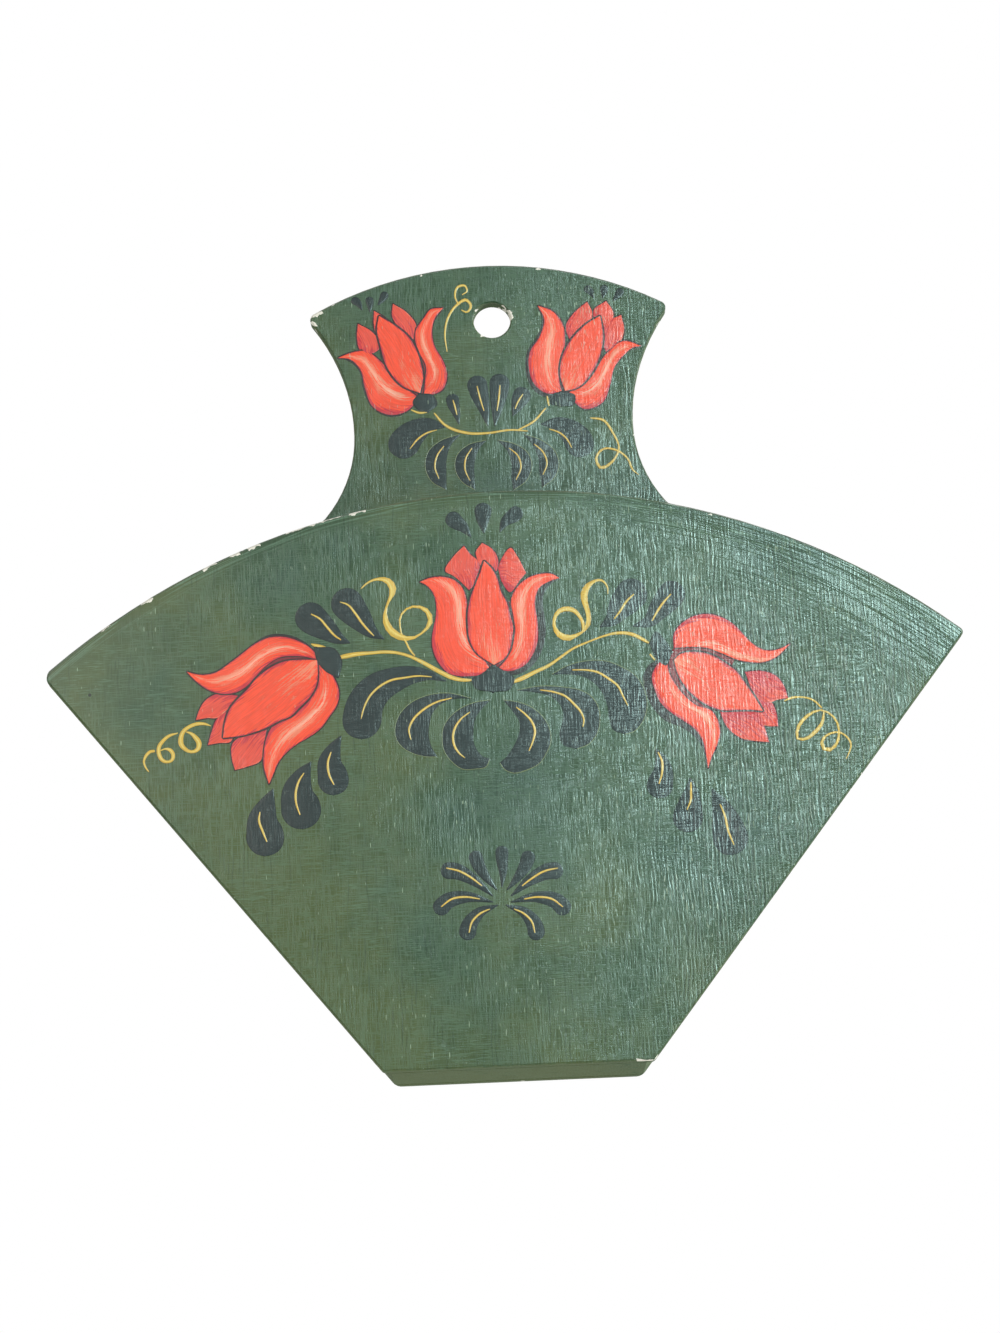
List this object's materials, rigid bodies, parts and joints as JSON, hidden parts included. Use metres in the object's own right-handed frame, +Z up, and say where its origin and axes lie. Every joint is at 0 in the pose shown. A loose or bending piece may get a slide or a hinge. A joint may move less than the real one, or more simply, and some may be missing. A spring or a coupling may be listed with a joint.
{
  "type": "painted wooden wall pocket for filter papers",
  "caption": "Fan-shaped wooden wall pocket that holds coffee filter papers, with a flared neck pierced by a hanging hole.",
  "frame": {"origin": "middle of the hanging hole, on the back face that meets the wall", "axes": "+Z up, +X to the viewer's right, +Y into the wall; the painted front looks along -Y"},
  "size_m": [0.2396, 0.032, 0.2199],
  "materials": {
    "painted_wood": "plywood board under green artist's paint and satin varnish",
    "strip_wood": "softwood strip, outside painted green, inside bare",
    "brads": "steel brads, driven flush, those in front painted over",
    "flower_paint": "red and pink petals in artist's paint under varnish",
    "leaf_paint": "slate-black leaves in artist's paint under varnish",
    "gold_paint": "ochre yellow line work in artist's paint under varnish"
  },
  "bodies": {
    "root": {"back_board": "painted_wood", "front_board": "painted_wood", "foot_strip": "strip_wood", "left_strip": "strip_wood", "right_strip": "strip_wood", "front_brads": "brads", "back_brads": "brads"}
  },
  "joints": []
}
